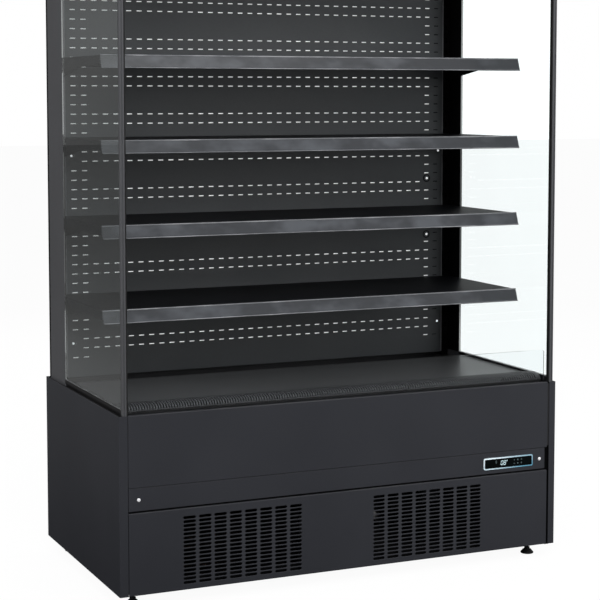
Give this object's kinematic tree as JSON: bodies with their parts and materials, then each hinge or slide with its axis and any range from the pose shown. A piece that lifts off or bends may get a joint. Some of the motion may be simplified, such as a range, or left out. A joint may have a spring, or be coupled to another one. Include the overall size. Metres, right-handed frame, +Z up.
{
  "type": "open multideck display fridge",
  "caption": "Upright open-front refrigerated display cabinet with glass ends, tilting shelves with price rails, a ribbed air return, a clear front riser and a vented base.",
  "frame": {"origin": "centre of the bounding box at floor level, under the four feet", "axes": "+Z up, front faces -Y, +X to the right of somebody who looks at the front"},
  "size_m": [1.33, 0.6956, 1.98],
  "materials": {
    "base_paint": "satin dark grey powder coat",
    "shell_paint": "satin grey powder coat",
    "black_paint": "satin black powder coat",
    "liner_paint": "satin dark grey powder coat",
    "shelf_paint": "satin anthracite powder coat",
    "insulation": "foam-filled body with a dark satin skin",
    "rail_plastic": "glossy dark label channel",
    "black_plastic": "moulded black plastic",
    "glass": "clear double pane",
    "clear_riser": "clear acrylic sheet, polished edges",
    "lens": "black touch lens",
    "bright_trim": "bright bezel",
    "screw": "polished pan head",
    "aluminium": "mill finish fins",
    "galvanised": "galvanised sheet",
    "cast_black": "satin black enamel",
    "lamp_cover": "frosted diffuser"
  },
  "bodies": {
    "cabinet": {"base_frame": "galvanised", "base_side_left": "base_paint", "base_side_right": "base_paint", "upper_fascia": "base_paint", "control_strip": "base_paint", "controller_housing": "bright_trim", "controller_lens": "lens", "strip_screw_left": "screw", "strip_screw_right": "screw", "insulated_tub": "insulation", "rear_wall": "insulation", "side_post_left": "shell_paint", "side_post_right": "shell_paint", "end_glass_left": "glass", "end_glass_right": "glass", "glass_frame_left": "shell_paint", "glass_frame_right": "shell_paint", "canopy_top": "insulation", "canopy_header": "shell_paint", "ceiling_panel": "liner_paint", "air_outlet": "black_plastic", "led_lamp": "lamp_cover", "back_panel": "liner_paint", "shelf_upright_left": "black_paint", "shelf_upright_right": "black_paint", "evaporator_fan_plate": "galvanised", "evaporator_coil": "aluminium", "condenser_coil": "black_paint", "condenser_fan_shroud": "galvanised", "compressor": "cast_black", "drip_tray": "black_plastic", "electrical_box": "galvanised", "cable_gland": "black_plastic"},
    "condenser_rotor": {"condenser_fan": "aluminium"},
    "tub_rotor_left": {"evaporator_fan_left": "black_plastic"},
    "tub_rotor_right": {"evaporator_fan_right": "black_plastic"},
    "foot_1": {"foot_front_left": "black_plastic"},
    "foot_2": {"foot_front_right": "black_plastic"},
    "foot_3": {"foot_rear_left": "black_plastic"},
    "foot_4": {"foot_rear_right": "black_plastic"},
    "deck": {"deck_pan": "liner_paint"},
    "air_return": {"return_grille": "liner_paint"},
    "riser": {"front_riser": "clear_riser"},
    "vent_panel": {"grille_panel": "base_paint"},
    "shelf_1": {"shelf_1_plate": "shelf_paint", "shelf_1_price_rail": "rail_plastic", "shelf_1_bracket_left": "black_paint", "shelf_1_bracket_right": "black_paint"},
    "shelf_2": {"shelf_2_plate": "shelf_paint", "shelf_2_price_rail": "rail_plastic", "shelf_2_bracket_left": "black_paint", "shelf_2_bracket_right": "black_paint"},
    "shelf_3": {"shelf_3_plate": "shelf_paint", "shelf_3_price_rail": "rail_plastic", "shelf_3_bracket_left": "black_paint", "shelf_3_bracket_right": "black_paint"},
    "shelf_4": {"shelf_4_plate": "shelf_paint", "shelf_4_price_rail": "rail_plastic", "shelf_4_bracket_left": "black_paint", "shelf_4_bracket_right": "black_paint"}
  },
  "joints": [
    {"name": "shelf_1_tilt", "type": "hinge", "parent": "cabinet", "child": "shelf_1", "pos_m": [0, 0.25575, 0.754], "axis": [-1, 0, 0], "range_deg": [0, 12]},
    {"name": "shelf_2_tilt", "type": "hinge", "parent": "cabinet", "child": "shelf_2", "pos_m": [0, 0.25575, 0.982], "axis": [-1, 0, 0], "range_deg": [0, 12]},
    {"name": "shelf_3_tilt", "type": "hinge", "parent": "cabinet", "child": "shelf_3", "pos_m": [0, 0.25575, 1.21], "axis": [-1, 0, 0], "range_deg": [0, 12]},
    {"name": "shelf_4_tilt", "type": "hinge", "parent": "cabinet", "child": "shelf_4", "pos_m": [0, 0.25575, 1.438], "axis": [-1, 0, 0], "range_deg": [0, 12]},
    {"name": "condenser_fan_spin", "type": "hinge", "parent": "cabinet", "child": "condenser_rotor", "pos_m": [-0.316, -0.23695, 0.15], "axis": [0, 1, 0], "continuous": true},
    {"name": "tub_fan_left_spin", "type": "hinge", "parent": "cabinet", "child": "tub_rotor_left", "pos_m": [-0.3, -0.10925, 0.44], "axis": [0, 1, 0], "continuous": true},
    {"name": "tub_fan_right_spin", "type": "hinge", "parent": "cabinet", "child": "tub_rotor_right", "pos_m": [0.3, -0.10925, 0.44], "axis": [0, 1, 0], "continuous": true},
    {"name": "foot_1_turn", "type": "hinge", "parent": "cabinet", "child": "foot_1", "pos_m": [-0.611, -0.28525, 0], "axis": [0, 0, 1], "continuous": true},
    {"name": "foot_2_turn", "type": "hinge", "parent": "cabinet", "child": "foot_2", "pos_m": [0.611, -0.28525, 0], "axis": [0, 0, 1], "continuous": true},
    {"name": "foot_3_turn", "type": "hinge", "parent": "cabinet", "child": "foot_3", "pos_m": [-0.611, 0.28775, 0], "axis": [0, 0, 1], "continuous": true},
    {"name": "foot_4_turn", "type": "hinge", "parent": "cabinet", "child": "foot_4", "pos_m": [0.611, 0.28775, 0], "axis": [0, 0, 1], "continuous": true},
    {"name": "deck_lift", "type": "slide", "parent": "cabinet", "child": "deck", "axis": [0, 0, 1], "range_m": [0, 0.12]},
    {"name": "air_return_lift", "type": "slide", "parent": "cabinet", "child": "air_return", "axis": [0, 0, 1], "range_m": [0, 0.1]},
    {"name": "riser_lift", "type": "slide", "parent": "cabinet", "child": "riser", "axis": [0, 0, 1], "range_m": [0, 0.12]},
    {"name": "vent_panel_pull", "type": "slide", "parent": "cabinet", "child": "vent_panel", "axis": [0, -1, 0], "range_m": [0, 0.1]}
  ]
}
